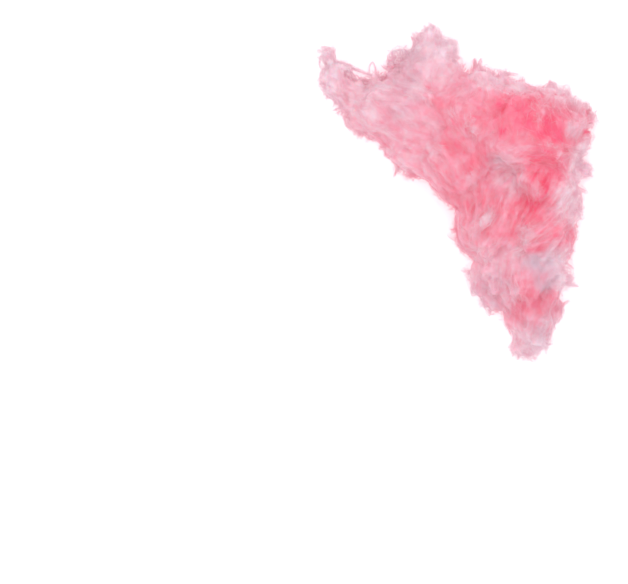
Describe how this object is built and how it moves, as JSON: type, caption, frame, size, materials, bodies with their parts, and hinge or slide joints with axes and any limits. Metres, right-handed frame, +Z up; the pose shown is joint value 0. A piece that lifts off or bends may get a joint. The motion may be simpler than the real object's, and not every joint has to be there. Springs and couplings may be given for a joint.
{
  "type": "cotton candy",
  "caption": "Torn tuft of pink spun sugar with a thin fan-shaped plume at the back, a stalk at one end and frayed sides, resting on its underside.",
  "frame": {"origin": "on the table, under the middle of the tuft's bounding box", "axes": "+Z up, +X towards the frayed side, +Y towards the plume"},
  "size_m": [0.063, 0.0766, 0.0319],
  "materials": {
    "spun_sugar": "matte, fibrous pink"
  },
  "bodies": {
    "root": {"cotton_candy": "spun_sugar"}
  },
  "joints": []
}
